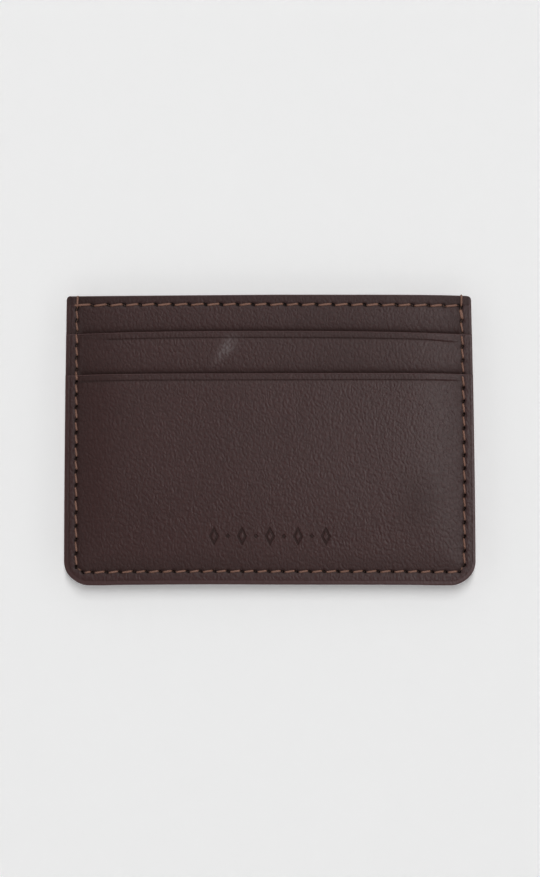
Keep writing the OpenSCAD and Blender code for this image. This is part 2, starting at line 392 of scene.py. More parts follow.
class Layer:
    """One sheet of a half, from level low to level high above the middle plane."""

    def __init__(self, name, low, high, top, covered_to, slits, seed, flat, **marks):
        below_mouth = 0.7
        self.name, self.low, self.high, self.top = name, low, high, top
        self.covered_to, self.seed, self.flat = covered_to, seed, flat
        self.slits = slits[slits[:, 1] < top(slits[:, 0]) - below_mouth]
        self.pocket, self.stamped = marks.get("pocket", False), marks.get("stamped", False)
        self.scuffed = marks.get("scuffed", False)

    def below_top(self, u, h):
        return self.top(u) - h

    def above_cover(self, u, h):
        """Height above the next pocket's mouth, or a large value where nothing covers this layer."""
        far = 99.0
        return h - self.covered_to(u) if self.covered_to else np.full(np.shape(u), far)

    def lift(self, u, h):
        """A pocket's mouth stands a little off the layer under it."""
        gap, depth = 0.07, 2.5
        return gap * fade(self.below_top(u, h), depth) * inner_fade(u, h) if self.pocket else 0 * u

    def inner(self, u, h):
        return self.low * squeeze(u, h) + centre_gap(u, h) + self.lift(u, h) + HALF_GAP

    def crease_ends(self, u):
        """The crease of the upper pocket fades out before it reaches the left seam."""
        end, length = -44, 7
        return smooth((u - end) / length) if self.covered_to else 1.0

    def past_crease(self, u, h):
        """Distance below the crease; that of the upper pocket bends down towards the right seam."""
        drop, start, length = 0.3, 36, 10
        bend = drop * smooth((u - start) / length) if self.covered_to else 0
        return self.below_top(u, h) - CREASE_FROM_MOUTH - bend

    def mouth_shape(self, u, h):
        """The creased band along a mouth: it ends in a sharp step down, and the leather rises slowly again.

        At the right end a soft fold stands up above the crease.
        """
        drop, drop_width, recovery, slope, from_mouth, above_crease = 0.085, 0.16, 0.9, 0.001, 0.42, 0.4
        step_start, step_length, fold_start, fold_length = 0.6, 5, 0.4, 2
        seam, past = seam_distance(u, h), self.past_crease(u, h) - slope * u
        step = drop * smooth(past / drop_width + 0.5) * fade(past, recovery)
        step = step * smooth((seam - step_start) / step_length) * self.crease_ends(u)
        fold = stroke(past + above_crease, strength=0.08, width=0.3) * right_end(u)
        fold = fold * smooth((seam - fold_start) / fold_length)
        return stroke(self.below_top(u, h) - from_mouth, strength=0.02, width=0.16) + step - fold

    def relief(self, u, h):
        """Dents and lumps of the outer face, in millimetres below its general level."""
        lumps, stamp_depth = ((0.030, 17, 14), (0.014, 6, 9), (0.003, 1.1, 3.2)), 0.14
        dents = stroke(seam_distance(u, h), strength=0.04, width=0.42)
        dents += stroke(nearest_hole(u, h, self.slits), strength=0.12, width=0.5)
        dents += stroke(edge_crease(u, h), strength=0.045, width=0.2) * crease_depth(u, h)
        for i, (height, across, along) in enumerate(lumps, 1):
            dents -= height * noise(u, h, across, along, self.seed + i)
        if self.pocket:
            dents += self.mouth_shape(u, h)
        else:
            row_start = smooth((u + SIDE_ROW + 1) / 0.5)
            dents += stroke(h - top_row(u), strength=0.07, width=0.45) * row_start
        if self.stamped:
            dents += stamp_depth * stamp(u, h)
        return dents

    def outer(self, u, h):
        """The outer face: it dips just above a pocket's mouth that covers it, and is round at its rim."""
        near_dip, far_dip, near_reach, far_reach, shown_over = 0.27, 0.10, 0.8, 3, 0.3
        z = self.high * squeeze(u, h) + centre_gap(u, h) + self.lift(u, h) - HALF_GAP
        cover = self.above_cover(u, h)
        shown = smooth(cover / shown_over + 1)
        dip = (near_dip * fade(cover, near_reach) + far_dip * fade(cover, far_reach)) * inner_fade(u, h)
        z = z - shown * self.relief(u, h) - dip
        side_round = rounding(edge_distance(u, h), width=0.32, depth=0.22)
        top_round = rounding(self.below_top(u, h), width=0.24, depth=0.16)
        return z - np.maximum(side_round, top_round)

    def burnish(self, u, h):
        """How burnished the leather is, with a painted highlight along with it, from 0 to 1: on the rim,
        widest low down, and at the mouths.
        """
        on_rim, on_band, wide, narrow, blur = 0.85, 0.04, 1.05, 0.50, 0.2
        m = self.below_top(u, h)
        rim_width = wide - (wide - narrow) * above_bottom(h)
        # The lighter rim is burnish and a painted highlight.
        marks = on_rim * smooth(0.5 + (rim_width - edge_distance(u, h)) / blur)
        marks += stroke(m, strength=0.07, width=0.5)
        if self.pocket:
            marks += on_band * smooth((CREASE_FROM_MOUTH - m) / 0.3)
        return np.clip(marks, 0, 1)

    def beside_seam(self, u, h):
        """Painted shade inside the seam, most at the left and the bottom, and a little in the margin."""
        at_left, left_reach, low_reach, low_loss, loss_u, loss_over = 0.61, 6, 4, 0.25, -38, 38
        at_right, right_reach, slot_h = 0.35, 4, 56
        bottom_margin, left_margin, right_margin = 0.08, 0.18, 0.04
        left, right, bottom = side_row(u, h) + u, side_row(u, h) - u, h - bottom_row(u)
        low = bump(np.maximum(bottom, 0), low_reach) * (1 - low_loss * smooth((u - loss_u) / loss_over))
        inside = at_left * np.maximum(fade(left, left_reach), low)
        right_side = (at_right - stroke(h - slot_h, strength=0.2, width=4)) * fade(right, right_reach)
        margin = np.where(bottom < 0, bottom_margin, np.where(u < 0, left_margin, right_margin))
        return np.where(seam_distance(u, h) > 0, np.maximum(inside, right_side), margin)

    def shade(self, u, h):
        """Painted shade in soft areas: beside the seam, above a mouth, on the top strip and slots, and at the
        right.
        """
        above_mouth, mouth_reach, on_strip, edge_blur, slots_u = 0.42, 2.5, 0.38, 0.4, 18
        patch_u, patch_h, flatter = 36, 20, 0.75
        strip = 0 if self.pocket else smooth((h - top_row(u)) / edge_blur)
        above_lower = smooth((h - LOWER_MOUTH) / edge_blur)
        slots = stroke(u - slots_u, strength=0.2, width=15) * above_lower * (1 - strip)
        patch = stroke(np.hypot(u - patch_u, (h - patch_h) * flatter), strength=0.3, width=5)
        above = above_mouth * fade(self.above_cover(u, h), mouth_reach)
        return self.beside_seam(u, h) + above + on_strip * strip + slots + patch

    def darkening(self, u, h):
        """How dark the leather is painted, from 0 to 1: painted shade in soft areas, in holes, creases and
        the gaps above mouths, the creases partly darker by their creasing too, and the stamp's own dark
        colour.
        """
        on_band, line_shift, line_loss = 0.24, 0.03, 0.6
        marks = self.shade(u, h)
        # Painted shade in the needle holes and along the seam's groove.
        marks += stroke(nearest_hole(u, h, self.slits), strength=0.9, width=0.6)
        marks += stroke(seam_distance(u, h), strength=0.3, width=0.4)
        # The edge crease: darker from its creasing, and painted shade.
        marks += stroke(edge_crease(u, h), strength=0.38, width=0.27) * crease_depth(u, h)
        # Painted shade in the gap just above a pocket's mouth.
        marks += stroke(np.maximum(self.above_cover(u, h), 0), strength=1, width=0.5) * inner_fade(u, h)
        if self.pocket:
            # Painted shade on the creased band below a mouth and on its crease line.
            band = on_band * smooth((CREASE_FROM_MOUTH - self.below_top(u, h)) / 0.3) * (1 - right_end(u))
            line = stroke(self.past_crease(u, h) - line_shift, strength=0.8, width=0.24)
            line = line * self.crease_ends(u) * (1 - line_loss * right_end(u))
            marks += (line + band) * inner_fade(u, h)
        if self.stamped:
            marks += stamp(u, h)
        return np.clip(marks, 0, 1)

    def scuffing(self, u, h):
        return scuff(u, h) if self.scuffed else 0 * u

    def spacing(self, u, h):
        """Largest distance between mesh points that still shows this layer's details."""
        size = np.full(np.shape(u), PLAIN)
        seam, edge, m = np.abs(seam_distance(u, h)), edge_distance(u, h), self.below_top(u, h)
        cover = self.above_cover(u, h)
        size[(seam < 1.2) | (edge < 1.9)] = FINER
        size[(seam < 0.7) | (np.abs(edge_crease(u, h)) < 0.3)] = FINEST
        size[cover < 2.0] = FINER
        size[cover < 0.6] = FINEST
        size[m < (2.3 if self.pocket else 4.0)] = FINER
        if self.pocket:
            size[np.abs(self.past_crease(u, h)) < 0.3] = FINEST
        else:
            size[np.abs(h - top_row(u)) < 0.6] = FINEST
        if self.stamped:
            size[(np.abs(u) < STAMP_STEP * STAMP_COUNT / 2) & (np.abs(h - STAMP_H) < 2.5)] = FINEST
        size[cover < -0.6] = COVERED
        return size


def layers_of(front):
    """The four sheets of one half, from the middle plane outwards. Only the front is stamped and scuffed,
    with a painted sheen on the scuff.
    """
    panel_slits = np.concatenate([SEAM_SLITS, TOP_SLITS, FLOOR_SLITS])
    pocket_slits = np.concatenate([SEAM_SLITS, FLOOR_SLITS])
    seed = 0 if front else 500
    return [
        Layer("lining", 0, LINING_Z, top_edge, None, NO_SLITS, seed + 40, PANEL_CUT),
        Layer("panel", LINING_Z, PANEL_Z, top_edge, upper_mouth, panel_slits, seed + 10, PANEL_CUT),
        Layer("upper_pocket", PANEL_Z, UPPER_Z, upper_mouth, lower_mouth, pocket_slits, seed + 20, UPPER_CUT,
              pocket=True, scuffed=front),
        Layer("lower_pocket", UPPER_Z, LOWER_Z, lower_mouth, None, SEAM_SLITS, seed + 30, LOWER_CUT,
              pocket=True, stamped=front),
    ]


HALVES = {"front": (1, layers_of(True)), "back": (-1, layers_of(False))}


def face(u, h, layers):
    """Outer face of a half's whole stack: the top strip, the upper pocket or the lower pocket."""
    _, panel, upper, lower = layers
    past_rim = 0.4
    u, h = np.atleast_1d(u).astype(float), np.atleast_1d(h).astype(float)
    z = panel.outer(u, np.minimum(h, top_edge(u) - past_rim))
    z = np.where(h < upper_mouth(u), upper.outer(u, np.minimum(h, upper_mouth(u) - past_rim)), z)
    return np.where(h < lower_mouth(u), lower.outer(u, np.minimum(h, lower_mouth(u) - past_rim)), z)


def place(u, h, z, side):
    """Points of the flat pattern in the row frame, in metres.

    The wallet narrows towards its open top, its bottom edge bows, and its bottom corners aren't quite arcs.
    """
    left_narrowing, right_narrowing, bow_rise, bow_drop, lump_u = 0.62, 1.07, 0.22, 0.12, -14
    corner_u, foot_u, corner_height = 48, 40.5, 3
    u, h, z = np.broadcast_arrays(np.asarray(u, float), np.asarray(h, float), np.asarray(z, float))
    share = np.clip(h / HEIGHT, 0, 1)
    narrowing = np.where(u < 0, left_narrowing, right_narrowing) * share ** 1.6
    bow = bow_rise * (1 - np.abs(u / HALF) ** 4) - bow_drop + stroke(u - lump_u, strength=0.08, width=14)
    bow = bow * (1 - share) ** 2
    corner = stroke(np.abs(u) - corner_u, strength=0.24, width=2)
    corner = corner - stroke(np.abs(u) - foot_u, strength=0.07, width=3.5)
    x, y = u * (HALF - narrowing) / HALF, h + bow + corner * np.exp(-h / corner_height) - HEIGHT / 2
    return np.stack([x, y, MID_Z + side * z], axis=-1) * MM


# ---- making meshes


def smooth_mesh(name, verts, faces, material):
    mesh = bpy.data.meshes.new(name)
    mesh.from_pydata([tuple(v) for v in verts], [], [tuple(int(i) for i in f) for f in faces])
    mesh.polygons.foreach_set("use_smooth", np.ones(len(mesh.polygons), bool))
    mesh.materials.append(material)
    return mesh


def make_piece(name, verts, faces, material, slot, sharp=40, **attributes):
    """A smooth-shaded piece that rides on the only body and stands for the CAD node of the same name."""
    mesh = smooth_mesh(name, verts, faces, material)
    mesh.set_sharp_from_angle(angle=math.radians(sharp))
    for key, values in attributes.items():
        layer = mesh.attributes.new(key, "FLOAT", "POINT")
        layer.data.foreach_set("value", np.asarray(values, np.float32))
    piece = bpy.data.objects.new(name + "_made", mesh)
    bpy.context.scene.collection.objects.link(piece)
    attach(piece, "root")
    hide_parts(name)
    return piece


def outline_loop(top, inset, step=0.3):
    """A sheet's outline, drawn in by inset: round bottom corners, and a top that follows its curve."""
    quarter = 1.6  # about the length of a quarter circle of radius 1
    long_span = 5
    points = []
    r_top = max(TOP_R if top is top_edge else 0, inset)
    corners = ((-1, 0, BOTTOM_R, 180), (1, 0, BOTTOM_R, 270), (1, 1, r_top, 0), (-1, 1, r_top, 90))
    for across, up, r, start in corners:
        n = max(2, int((r - inset) * quarter / step)) if r > inset else 0
        centre_u = across * (HALF - r)
        centre_h = float(top(centre_u)) - r if up else r
        for i in range(n + 1):
            a = math.radians(start + 90 * i / max(n, 1))
            points.append((centre_u + (r - inset) * math.cos(a), centre_h + (r - inset) * math.sin(a)))
    loop = []
    for a, b in zip(points, points[1:] + points[:1]):
        n = max(1, round(math.hypot(b[0] - a[0], b[1] - a[1]) / step))
        along_top = min(a[1], b[1]) > BOTTOM_R + 1 and abs(b[0] - a[0]) > long_span
        for i in range(n):
            u, h = a[0] + (b[0] - a[0]) * i / n, a[1] + (b[1] - a[1]) * i / n
            loop.append((u, float(top(u)) - inset) if along_top and i else (u, h))
    return loop


def lattice(spacing, coarsest, finest=FINEST):
    """Points of nested square lattices, closer together where spacing(u, h) asks for it."""
    slack = 0.01
    found, size = [], coarsest
    while size > finest * (1 - slack):
        i = np.arange(-math.floor(HALF / size), math.floor(HALF / size) + 1)
        j = np.arange(0, math.floor(HEIGHT / size) + 2)
        a, b = (g.ravel() for g in np.meshgrid(i, j))
        if size < coarsest:
            wanted = spacing(a * size, b * size) <= size * (1 + slack)
            keep = wanted & ((a % 2 == 1) | (b % 2 == 1))
            a, b = a[keep], b[keep]
        found.append(np.stack([a * size, b * size], axis=1))
        size /= 2
    return np.concatenate(found)


def triangulated(rows, slits, inner):
    """Triangles of a flat sheet: rows are its outline and the loops inside it, slits are its needle holes."""
    merge_below = 1e-6
    points, faces, edges = [], [], []
    for k, loop in enumerate(rows + slits):
        ids = list(range(len(points), len(points) + len(loop)))
        points += [tuple(p) for p in loop]
        if k == 0:
            faces.append(ids)
        elif k >= len(rows):
            edges += list(zip(ids, ids[1:] + ids[:1]))
    points = [Vector(p) for p in points] + [Vector(p) for p in inner]
    made = mathutils.geometry.delaunay_2d_cdt(points, edges, faces, 1, merge_below)
    return np.array([tuple(p) for p in made[0]]), np.array(made[2])


def flat_face(layer, fine):
    """The flat triangles of one face of a sheet, with its outline loops and its slits."""
    coarse, clear_of_slit, slit_rim = 4.0, 1.3, 0.98
    loops, clear_of_loops = ((0, 0.06, 0.14, 0.24, 0.36, 0.5), 0.1) if fine else ((0,), 1.2)
    rows = [outline_loop(layer.top, LEATHER_INSET + inset) for inset in loops]
    slits = [slit_loop(slit) for slit in layer.slits]
    inner = lattice(layer.spacing, COVERED) if fine else lattice(None, coarse, coarse)
    clear = LEATHER_INSET + loops[-1] + clear_of_loops
    below, edge = layer.below_top(inner[:, 0], inner[:, 1]), edge_distance(inner[:, 0], inner[:, 1])
    corner = (below < TOP_R) & (HALF - np.abs(inner[:, 0]) < TOP_R)
    inner = inner[(edge > clear) & (below > clear) & ~corner]
    inner = inner[~in_slit(inner, layer.slits, clear_of_slit)]
    flat, triangles = triangulated(rows, slits, inner)
    kept = ~in_slit(flat[triangles].mean(axis=1), layer.slits, slit_rim)
    return flat, triangles[kept], rows, slits


def make_sheet(half, layer, material, slot):
    """A closed sheet: a detailed outer face, a plainer inner face, its rim and the walls of its holes."""
    unlit = 4 / 3  # painted shade on the inner face, which also darkens the walls of the rim and of the holes, so that the leather's colour is wholly the dark one there
    side = HALVES[half][0]
    flat, triangles, rows, slits = flat_face(layer, True)
    back_flat, back_triangles, back_rows, _ = flat_face(layer, False)
    u, h = flat.T
    outer = layer.outer(u, h)
    bu, bh = back_flat.T
    inner = np.minimum(layer.inner(bu, bh), layer.outer(bu, bh) - THINNEST)
    offset = len(flat)
    faces = [tuple(t) for t in triangles] + [tuple(offset + t[::-1]) for t in back_triangles]
    start, back_start = sum(len(row) for row in rows), len(back_rows[0])
    walls = [(0, 0, len(rows[0]), False)]
    walls += [(start + k * len(s), back_start + k * len(s), len(s), True) for k, s in enumerate(slits)]
    for a, b, n, inwards in walls:
        for i in range(n):
            j = (i + 1) % n
            quad = (a + i, offset + b + i, offset + b + j, a + j)
            faces.append(quad[::-1] if inwards else quad)
    if side < 0:
        faces = [f[::-1] for f in faces]
    plain = np.zeros(len(back_flat))
    return make_piece(
        f"{half}_{layer.name}",
        np.concatenate([place(u, h, outer, side), place(bu, bh, inner, side)]),
        faces, material, slot,
        burnish=np.concatenate([layer.burnish(u, h), plain]),
        darkening=np.concatenate([layer.darkening(u, h), plain + unlit]),
        scuffing=np.concatenate([layer.scuffing(u, h), plain]),
    )


def ring_faces(rings, sides):
    """Quads between neighbouring rings of a tube and a cap at each end."""
    faces = []
    for i in range(rings - 1):
        a, b = i * sides, (i + 1) * sides
        for j in range(sides):
            k = (j + 1) % sides
            faces.append((a + j, a + k, b + k, b + j))
    last = (rings - 1) * sides
    return faces + [tuple(range(sides))[::-1], tuple(range(last, last + sides))]


# ---- threads

PLIES, PLY_PITCH = 3, 1.5
# How far from the middle plane a thread lies in its holes, and how far aside it goes over the top edge
HOLE_LEVEL, ASIDE_AT_TOP = 0.12, 0.13


def stitch(a, b, shift=0.0, steps=30):
    """A stitch from hole a to hole b, as rows of (u, h, level, shown).

    Level is 0 deep in a hole and 1 on the face. Shown is 1 where the thread is full and lit: a stitch
    comes out of its first hole thinner and darker with painted shade, and a short corner stitch stays so.
    """
    shift_over, slant, in_hole, rise = 0.8, 0.17, 0.27, 0.55
    at_first, full_after, shortest, short_dim, short_sink = 0.6, 1.8, 2.35, 0.45, 0.10
    length = math.dist(a, b)
    t = (b - a) / length
    d = length * (1 - np.cos(np.linspace(0, math.pi, steps + 1))) / 2
    aside = shift * smooth(d / shift_over) * smooth((length - d) / shift_over)
    aside = aside + slant * (2 * smooth(d / length) - 1)
    level = smooth((d - in_hole) / rise) * smooth((length - in_hole - d) / rise)
    short = smooth((shortest - length) / 0.3)
    shown = level * (at_first + (1 - at_first) * smooth(d / full_after)) * (1 - short_dim * short)
    level = level * (1 - short_sink * short)
    spots = a + d[:, None] * t + aside[:, None] * left_of(t)
    return np.column_stack([spots, level, shown])


def chain(holes, doubled=()):
    """The stitches of a row one after another; a doubled one goes forward, back and forward again."""
    first_shift, last_shift = 0.13, -0.06
    parts = []
    for i, (a, b) in enumerate(zip(holes, holes[1:])):
        if i in doubled:
            parts += [stitch(a, b, first_shift), stitch(b, a, first_shift)]
        parts.append(stitch(a, b, last_shift if i in doubled else 0.0))
    return np.concatenate(parts)


def on_face(rows, layers, depth):
    """A thread path as rows of (u, h, z, shown): half sunk into the face at level 1, at depth at level 0."""
    proud = 0.45
    u, h, level, shown = rows.T
    top = face(u, h, layers) + proud * THREAD_R
    return np.column_stack([u, h, depth + (top - depth) * level, shown])


def over_the_edge(hole, layers, steps=16):
    """The thread's way from over the top edge down to the first hole of a side row."""
    below_edge, arc_drop, left_proud, right_proud = 0.1, 0.45, 0.45, 0.6
    at_rim, off_face, above_hole, sinks_over = 0.5, 0.6, 0.1, 0.3
    u = hole[0] + ASIDE_AT_TOP
    rim = float(top_edge(u)) - below_edge
    z = float(face(u, rim - at_rim, layers)[0]) + off_face * THREAD_R
    turn = np.linspace(math.pi / 2, 0, steps)
    foot = rim - arc_drop
    up = foot + (left_proud if hole[0] < 0 else right_proud) * np.sin(turn)
    arc = np.column_stack([np.full(steps, u), up, z * np.cos(turn) ** 0.8, np.ones(steps)])
    down = np.linspace(0, 1, steps)[1:]
    h = foot + (hole[1] + above_hole - foot) * down
    level = smooth((1 - down) / sinks_over)
    lower = on_face(np.column_stack([u + (hole[0] - u) * down, h, level, level]), layers, HOLE_LEVEL)
    lower[:, 2] += (z - lower[0, 2]) * (1 - down) * level
    return np.concatenate([arc, lower])


def tube(path, radius, sides, shown):
    """A twisted thread along a path in metres, and how far each point stands out of its holes and plies,
    which sets the thread's painted shade.
    """
    groove, thinner_in_hole, any_way, shortest = 0.20, 0.4, (0.3, 0.5, 0.8), 1e-7
    steps = np.linalg.norm(np.diff(path, axis=0), axis=1)
    kept = np.concatenate([[True], steps > shortest])
    path, shown = path[kept], shown[kept]
    tangents = np.gradient(path, axis=0)
    tangents /= np.linalg.norm(tangents, axis=1)[:, None]
    along = np.concatenate([[0], np.cumsum(np.linalg.norm(np.diff(path, axis=0), axis=1))])
    normal = np.cross(tangents[0], any_way)
    verts, ply = [], []
    turns = np.arange(sides) * 2 * math.pi / sides
    for p, t, s, out in zip(path, tangents, along, shown):
        normal = normal - t * np.dot(normal, t)
        normal = normal / np.linalg.norm(normal)
        other = np.cross(t, normal)
        lobe = np.abs(np.cos((turns - 2 * math.pi * s / (PLY_PITCH * MM)) * PLIES / 2))
        r = radius * (1 - groove + groove * lobe) * (1 - thinner_in_hole + thinner_in_hole * out)
        verts.append(p + np.outer(r * np.cos(turns), normal) + np.outer(r * np.sin(turns), other))
        # This share also sets the painted shade in the thread's colour.
        ply.append(lobe * out)
    return np.concatenate(verts), ring_faces(len(path), sides), np.concatenate(ply)


def make_thread(name, rows, side, material, radius, sides=12):
    """A thread from rows of (u, h, z, shown) on one side of the middle plane."""
    u, h, z, shown = rows.T
    verts, faces, ply = tube(place(u, h, z, side), radius * MM, sides, shown)
    return make_piece(name, verts, faces, material, "thread", sharp=75, ply=ply)


def make_threads(material):
    """The three threads of each half: round the perimeter, along the top edge and at the hidden floor."""
    top_r, floor_r = THREAD_R * 1.07, THREAD_R * 0.5
    out_of_sight, below_rim, floor_rise = 0.1, 2, 0.8
    for half, seam in (("front", "perimeter_needle_thread"), ("back", "perimeter_bobbin_thread")):
        side, layers = HALVES[half]
        last_stitch = len(SEAM_HOLES) - 2
        sewn = on_face(chain(SEAM_HOLES, doubled=(last_stitch,)), layers, HOLE_LEVEL)
        start = over_the_edge(SEAM_HOLES[0], layers)
        end = over_the_edge(SEAM_HOLES[-1], layers)[::-1]
        make_thread(seam, np.concatenate([start, sewn, end]), side, material, THREAD_R)
        under = float(layers[0].inner(0.0, HEIGHT - below_rim)) - out_of_sight
        make_thread(f"{half}_top_stitching", on_face(chain(TOP_HOLES), layers, under), side, material, top_r)
        u, h, level, shown = chain(FLOOR_HOLES).T
        z = PANEL_Z * squeeze(u, h) + (UPPER_Z - PANEL_Z) * floor_rise * level
        floor_rows = np.column_stack([u, h, z, shown])
        make_thread(f"{half}_pocket_floor_stitching", floor_rows, side, material, floor_r, sides=6)


# ---- edge paint


def bead(u, h, inward, z_low, z_high, r, both):
    """Rings of a painted bead along points (u, h): round outside, with its inner side in the leather."""
    most_of_height, flatter_below, into_leather, thinner_inside = 0.45, 0.6, 1.2, 0.3
    turns = np.radians(np.linspace(0, 90, 7))
    inset = r * (1 - np.sin(turns))
    drop = (1 - np.cos(turns))[None, :]
    r_high = np.minimum(r, most_of_height * (z_high - z_low))[:, None]
    high = z_high[:, None] - r_high * drop
    low = z_low[:, None] + (r_high * drop if both else r_high * drop * flatter_below)
    across = np.concatenate([inset, inset[::-1], [r * into_leather] * 2])
    inner = np.stack([z_low, z_high], axis=1) + r_high * thinner_inside * np.array([[1, -1]])
    z = np.concatenate([high, low[:, ::-1], inner], axis=1)
    uu = u[:, None] + across[None, :] * inward[:, 0:1]
    hh = h[:, None] + across[None, :] * inward[:, 1:2]
    return uu, hh, z


def make_bead(name, uu, hh, z, side, material):
    """A bead of edge paint from its rings of points."""
    rings, sides = z.shape
    verts = place(uu, hh, z, side).reshape(-1, 3)
    faces = ring_faces(rings, sides)
    if side < 0:
        faces = [f[::-1] for f in faces]
    return make_piece(name, verts, faces, material, "edge_paint", sharp=50)


def rim_path():
    """The outline from the top left corner round the bottom to the top right corner, with inward normals."""
    side_step, bottom_step, top_parts, bottom_parts = 0.25, 0.5, 10, 36
    top, top_u, bottom_u = float(top_edge(HALF)) - TOP_R, HALF - TOP_R, HALF - BOTTOM_R
    points, inward = [], []

    def arc(cu, ch, r, start, end, n):
        for a in np.radians(np.linspace(start, end, n)):
            points.append((cu + r * math.cos(a), ch + r * math.sin(a)))
            inward.append((-math.cos(a), -math.sin(a)))

    def straight(stretch, normal):
        points.extend(stretch)
        inward.extend([normal] * len(stretch))

    arc(-top_u, top, TOP_R, 90, 180, top_parts)
    straight([(-HALF, h) for h in np.arange(top - side_step, BOTTOM_R, -side_step)], (1, 0))
    arc(-bottom_u, BOTTOM_R, BOTTOM_R, 180, 270, bottom_parts)
    straight([(u, 0) for u in np.arange(-bottom_u + bottom_step, bottom_u, bottom_step)], (0, 1))
    arc(bottom_u, BOTTOM_R, BOTTOM_R, 270, 360, bottom_parts)
    straight([(HALF, h) for h in np.arange(BOTTOM_R + side_step, top, side_step)], (-1, 0))
    arc(top_u, top, TOP_R, 0, 90, top_parts)
    return np.array(points), np.array(inward)


def stack_height(u, h):
    """Thickness of a half at the rim, with a soft step at each pocket's mouth."""
    step, above = 0.5, 0.7
    z = PANEL_Z + (UPPER_Z - PANEL_Z) * smooth((upper_mouth(u) - h) / step + above)
    z = z + (LOWER_Z - UPPER_Z) * smooth((lower_mouth(u) - h) / step + above)
    return z * squeeze(u, h) - HALF_GAP


def make_edge_coats(material):
    """The paint round both sides and the bottom, and on the top edge and the two mouths of each half."""
    waviness, under_rim, over_leather, mouth_points, beside_rim = 0.02, 0.38, 0.012, 320, 0.1
    points, inward = rim_path()
    at = points + inward * COAT_R
    z_high = stack_height(at[:, 0], at[:, 1]) + waviness * noise(at[:, 0], at[:, 1], 5, 5, seed=77)
    beads = bead(points[:, 0], points[:, 1], inward, -z_high, z_high, COAT_R, True)
    make_bead("perimeter_edge_coat", *beads, 1, material)
    for half, (side, layers) in HALVES.items():
        lining, panel, upper, lower = layers
        jobs = (("top_edge", top_edge, lining, panel, HALF - TOP_R, MOUTH_COAT_R * 1.2),
                ("upper_mouth", upper_mouth, upper, upper, HALF - beside_rim, MOUTH_COAT_R),
                ("lower_mouth", lower_mouth, lower, lower, HALF - beside_rim, MOUTH_COAT_R))
        for name, curve, under, over, reach, r in jobs:
            u = np.linspace(-reach, reach, mouth_points)
            h = curve(u)
            z_high = over.outer(u, h - under_rim) + over_leather
            z_low = under.inner(u, h - r)
            down = np.tile((0.0, -1.0), (len(u), 1))
            beads = bead(u, h, down, z_low, z_high, r, False)
            make_bead(f"{half}_{name}_coat", *beads, side, material)


# ---- materials


class Nodes:
    """A short way to write a material's node tree."""

    def __init__(self, name, roughness, specular):
        self.material = bpy.data.materials.new(name)
        self.material.use_nodes = True
        self.tree = self.material.node_tree
        self.shader = self.tree.nodes["Principled BSDF"]
        self.shader.inputs["Roughness"].default_value = roughness
        self.shader.inputs["Specular IOR Level"].default_value = specular

    def add(self, kind, out=0, **inputs):
        """A node of that kind; a key that names a socket sets or links it, and any other is a property."""
        node = self.tree.nodes.new(kind)
        for key, value in inputs.items():
            socket = key.replace("_", " ")
            if socket not in node.inputs:
                setattr(node, key, value)
        for key, value in inputs.items():
            socket = key.replace("_", " ")
            if socket in node.inputs:
                self.set(node.inputs[socket], value)
        return node.outputs[out]

    def set(self, socket, value):
        if isinstance(value, bpy.types.NodeSocket):
            self.tree.links.new(value, socket)
        else:
            socket.default_value = value

    def math(self, operation, a, b=0.0, c=0.0):
        node = self.tree.nodes.new("ShaderNodeMath")
        node.operation = operation
        for socket, value in zip(node.inputs, (a, b, c)):
            self.set(socket, value)
        return node.outputs[0]

    def mix(self, share, a, b):
        node = self.tree.nodes.new("ShaderNodeMix")
        node.data_type = "RGBA"
        self.set(node.inputs["Factor"], share)
        self.set(node.inputs[6], (*a, 1) if isinstance(a, tuple) else a)
        self.set(node.inputs[7], (*b, 1) if isinstance(b, tuple) else b)
        return node.outputs[2]

    def spread(self, value, low, high, to_low=0.0, to_high=1.0):
        """The value's way from low to high, mapped to the way from to_low to to_high."""
        limits = dict(From_Min=low, From_Max=high, To_Min=to_low, To_Max=to_high)
        return self.add("ShaderNodeMapRange", Value=value, **limits)

    def attribute(self, name):
        return self.add("ShaderNodeAttribute", out=2, attribute_name=name)

    def coordinates(self, stretch=(1.0, 1.0, 1.0)):
        """Object coordinates in millimetres, divided by stretch."""
        scale = tuple(1 / MM / s for s in stretch)
        spot = self.add("ShaderNodeTexCoord", out=3)
        return self.add("ShaderNodeMapping", Vector=spot, Scale=scale)

    def noise(self, spot, scale, detail):
        return self.add("ShaderNodeTexNoise", Vector=spot, Scale=scale, Detail=detail, Roughness=0.5)

    def relief(self, height, distance):
        """A bump of height times distance, in metres."""
        return self.add("ShaderNodeBump", Height=height, Distance=distance, Strength=1.0)

    def finish(self, colour, roughness, normal):
        self.set(self.shader.inputs["Base Color"], colour)
        self.set(self.shader.inputs["Roughness"], roughness)
        self.set(self.shader.inputs["Normal"], normal)
        return self.material


